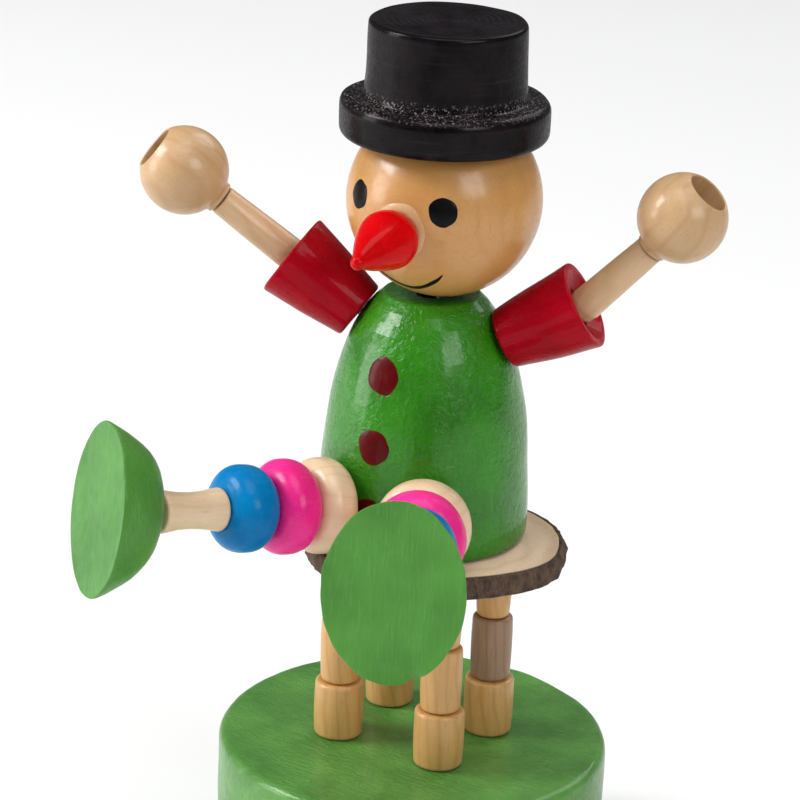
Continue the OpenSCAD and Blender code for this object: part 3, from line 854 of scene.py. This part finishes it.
def make_hat():
    matrix, height, radius = place_of("hat")
    brim, crown = 4.9, 9.9
    top = [(r, height + 0.035 * math.sin(2 * math.pi * r / 0.85) - 0.02 * (1 - r / crown), 0)
           for r in np.arange(crown - 1.5, 0.1, -0.14)]
    points = outline(
        (0, 5.5, 0), (7.0, 3.2, 0), (9.15, 0.1, 0), (9.4, 0, 0), (radius, 0, 1.0), (radius, brim, 1.5),
        (crown + 0.15, brim, 0.7), (crown, height * 0.5, 2), (crown - 0.3, height, 1.3), *top,
        (0, height, 0), step=0.3)
    hat = lathe("top_hat", points, matrix, around=190, wobble=0.16)
    keep(hat, "head", "black_paint", "hat", "hat")


# ---------------------------------------------------------------- strings and spring


def knot(name, matrix, body, *nodes):
    """A small tied knot: three lobes of string drawn tight."""
    points = []
    for k in range(73):
        t = 2 * math.pi * k / 72
        points.append((0.42 * (math.sin(t) + 2 * math.sin(2 * t)), 0.42 * (math.cos(t) - 2 * math.cos(2 * t)),
                       -0.62 * math.sin(3 * t)))
    keep(tube(name, points, 0.47, matrix, sides=10, twist=0.35), body, "cord", "string", *nodes)


def link(name, a, b, points, middle, reach, *nodes):
    """A stretch of string from piece a into piece b, with a corner where they meet; it hangs on a, or stays
    fixed in place when it runs on into b.
    """
    points = [Vector(p) for p in points]
    fine = []
    for p, q in zip(points, points[1:]):
        count = max(2, math.ceil((q - p).length / 0.35))
        fine += [p.lerp(q, k / count) for k in range(count)]
    piece = tube(name, fine + [points[-1]], STRING_R, sides=10, twist=0.3)
    piece.data.materials.clear()
    piece.data.materials.append(MATERIALS["string"])
    if b:
        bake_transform(piece)
    else:
        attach(piece, a)
    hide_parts(*nodes)


def chain(name, stops, node):
    """Strings through a row of pieces; a stop is (body, its middle, where the next piece meets it)."""
    for (a, start, meet), (b, end, _) in zip(stops, stops[1:]):
        link(f"{name}_{a}_to_{b}", a, b, (start, meet, end), Vector(meet), 0.5, node)


def make_strings():
    knot_z = middle_of("button_knots").z / MM
    ceiling, seat_low = 18.0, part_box("seat")[0].z / MM
    seat_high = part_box("seat")[1].z / MM
    torso = middle_of("torso") / MM
    for corner in CORNERS:
        spot = middle_of(f"stool_lower_{corner}") / MM
        node = f"string_{corner}"

        def at(z, spot=spot):
            return Vector((spot.x, spot.y, z))
        knot(f"button_knot_{corner}", Matrix.Translation(at(knot_z) * MM), "push_button", "button_knots")
        link(f"{node}_in_drum", "push_button", None, (at(knot_z), at(ceiling + 0.6)), None, 0, node)
        beads = [f"stool_{part}_{corner}" for part in ("lower", "middle", "upper")]
        tops = [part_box(b)[1].z / MM for b in beads]
        lows = [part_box(b)[0].z / MM for b in beads]
        stops = [("base", at(ceiling + 0.3), at(lows[0]))]
        stops += [(b, at((low + top) / 2), at(top + 0.05)) for b, low, top in zip(beads, lows, tops)]
        if corner == "front_left":
            stops.append(("seat", at(seat_low + 1.2), None))
        chain(node, stops, node)
        if corner != "front_left":
            middle = at((lows[2] + tops[2]) / 2)
            link(f"{node}_top_end", beads[2], None, (middle, at(seat_low - 0.1)), None, 0, node)
            link(f"{node}_in_seat", "seat", None, (at(seat_low - 0.4), at(seat_high - 1)), None, 0, node)
        side = "left" if spot.x > torso.x else "right"
        if corner.startswith("front"):
            hip, _, _ = place_of(f"hip_bead_{side}", LEG_RISE[side], LEG_TURN[side])
            inside = hip @ Vector((0, 0, -4.5 * MM)) / MM
        else:
            hip, _, _ = place_of(f"sleeve_{side}", *ARM_WAY[side][0])
            inside = hip @ Vector((0, 0, -5.5 * MM)) / MM
        mouth = hip.translation / MM
        ends = (at(seat_high - 1.2), at(seat_high + 5))
        link(f"{node}_seat_to_torso", "seat", "torso", ends, at(seat_high + 1), 1.5, node)
        link(f"{node}_in_torso", "torso", None, (at(seat_high + 5), inside), None, 0, node)
        if corner.startswith("front"):
            names = [f"{part}_{side}" for part in ("hip_bead", "knee_bead", "calf_bead", "shin", "foot")]
            turns = [LEG_TURN[side]] * 4 + [FOOT_TURN[side]]
            frames = [place_of(n, LEG_RISE[side], turn) for n, turn in zip(names, turns)]
        else:
            names = [f"{part}_{side}" for part in ("sleeve", "forearm", "hand")]
            frames = [place_of(n, *way) for n, way in zip(names, ARM_WAY[side])]
        stops = [("torso", inside, mouth)]
        for n, (place, length, _) in zip(names, frames):
            inner = place @ Vector((0, 0, 0.45 * length * MM)) / MM
            stops.append((n, inner, place @ Vector((0, 0, length * MM)) / MM))
        if not corner.startswith("front"):
            elbow, wrist = frames[1][0], frames[2][0]
            inner = frames[0][0] @ Vector((0, 0, 5 * MM)) / MM
            stops[1] = (names[0], inner, elbow @ Vector((0, 0, 2.1 * MM)) / MM)
            stops[2] = (names[1], elbow @ Vector((0, 0, 7 * MM)) / MM, wrist.translation / MM)
            stops[3] = (names[2], wrist @ Vector((0, 0, 5.8 * MM)) / MM, None)
        chain(f"{node}_limb", stops, node)
    head_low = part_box("head")[0].z / MM
    centre = Vector((*(middle_of("head") / MM)[:2], 0))
    neck = centre + Vector((0, 0, head_low))
    ends = (centre + Vector((0, 0, head_low - 6)), centre + Vector((0, 0, head_low + 10)))
    link("string_head_neck", "torso", "head", ends, neck, 0.6, "string_head")
    knot("head_string_knot", Matrix.Translation(middle_of("head_knot")), "head", "head_knot")
    for s in SIDES:
        place, _, _ = place_of(f"hand_{s}", *ARM_WAY[s][2])
        knot(f"hand_{s}_knot", place @ Matrix.Translation((0, 0, 6.9 * MM)), f"hand_{s}", f"hand_knot_{s}")


def make_spring():
    low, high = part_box("return_spring")
    wire, turns, steps = 0.4, 5, 40
    bottom, top = low.z / MM + wire, high.z / MM - wire
    radius = (high.x - low.x) / 2 / MM - wire
    points = []
    for i in range(turns * steps + 1):
        u = i / (turns * steps)
        rise = min(1, max(0, (u - 0.16) / 0.68))
        rise = rise * rise * (3 - 2 * rise) * 0.25 + rise * 0.75
        a = 2 * math.pi * i / steps
        points.append((radius * math.cos(a), radius * math.sin(a), bottom + (top - bottom) * rise))
    spring = tube("coil_spring", points, wire, sides=12)
    keep(spring, "base", "spring_steel", "steel", "return_spring")
    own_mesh(spring)


setup_stage()
setup_materials()
make_base()
make_stool()
make_torso()
make_head()
make_face()
make_nose()
make_dots()
make_seat()
make_limbs()
make_feet()
make_hat()
make_strings()
make_spring()
